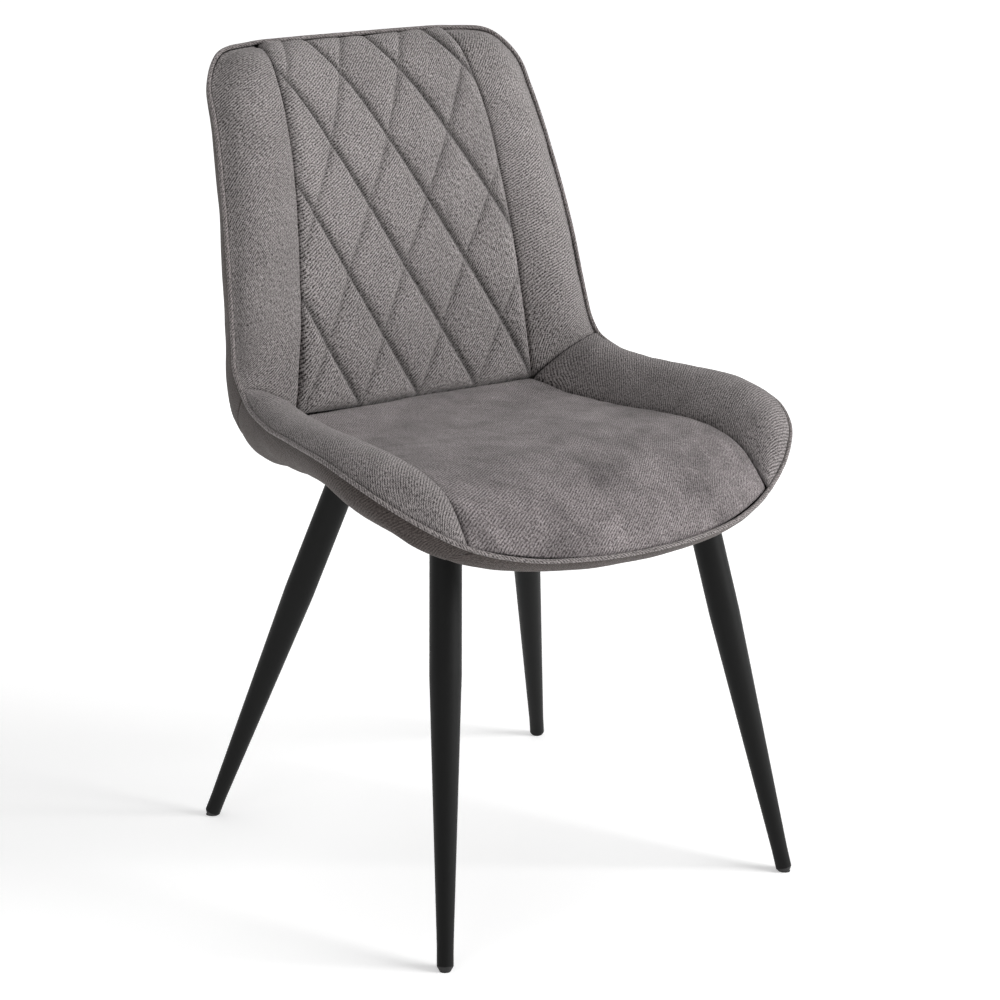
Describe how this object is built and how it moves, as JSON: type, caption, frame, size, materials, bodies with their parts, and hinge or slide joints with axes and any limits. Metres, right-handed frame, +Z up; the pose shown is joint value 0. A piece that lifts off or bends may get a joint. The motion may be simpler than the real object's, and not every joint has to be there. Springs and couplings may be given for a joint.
{
  "type": "dining chair",
  "caption": "Upholstered dining chair with a padded bucket seat, low side bolsters, diamond-quilted back, piped edge and tapered steel legs.",
  "frame": {"origin": "on the floor, below the centre of the chair's bounding box", "axes": "+Z up; the sitter faces -Y, so -Y is the front of the chair; +X is the right-hand side seen from the front"},
  "size_m": [0.5288, 0.5704, 0.8444],
  "materials": {
    "face_fabric": "soft microfibre with a fine diagonal weave",
    "outer_fabric": "soft microfibre, darker brown-grey",
    "leg_paint": "satin black powder coat",
    "foot_plastic": "moulded, matt black",
    "shell_plastic": "moulded, hidden",
    "foam": "open-cell polyurethane foam, hidden",
    "plywood": "plywood stained black, under the seat",
    "dust_cloth": "black non-woven cloth",
    "cord_fibre": "paper or cotton cord, hidden",
    "fixing_steel": "zinc plated",
    "bolt_steel": "black oxide"
  },
  "bodies": {
    "root": {"back_foam": "foam", "back_quilted_panel": "face_fabric", "back_wing_foam_left": "foam", "back_wing_foam_right": "foam", "back_wing_panel_left": "face_fabric", "back_wing_panel_right": "face_fabric", "board_tnuts": "fixing_steel", "bucket_shell": "shell_plastic", "dust_cover": "dust_cloth", "dust_cover_staples": "fixing_steel", "edge_piping": "outer_fabric", "foot_cap_front_left": "foot_plastic", "foot_cap_front_right": "foot_plastic", "foot_cap_rear_left": "foot_plastic", "foot_cap_rear_right": "foot_plastic", "front_band": "outer_fabric", "leg_bolts": "bolt_steel", "leg_front_left": "leg_paint", "leg_front_right": "leg_paint", "leg_plate_front_left": "leg_paint", "leg_plate_front_right": "leg_paint", "leg_plate_rear_left": "leg_paint", "leg_plate_rear_right": "leg_paint", "leg_rear_left": "leg_paint", "leg_rear_right": "leg_paint", "leg_washers": "fixing_steel", "outer_back_cover": "outer_fabric", "outer_side_cover_left": "outer_fabric", "outer_side_cover_right": "outer_fabric", "piping_cord": "cord_fibre", "seat_board": "plywood", "seat_bolster_foam_left": "foam", "seat_bolster_foam_right": "foam", "seat_centre_panel": "face_fabric", "seat_foam": "foam", "seat_side_panel_left": "face_fabric", "seat_side_panel_right": "face_fabric"}
  },
  "joints": []
}
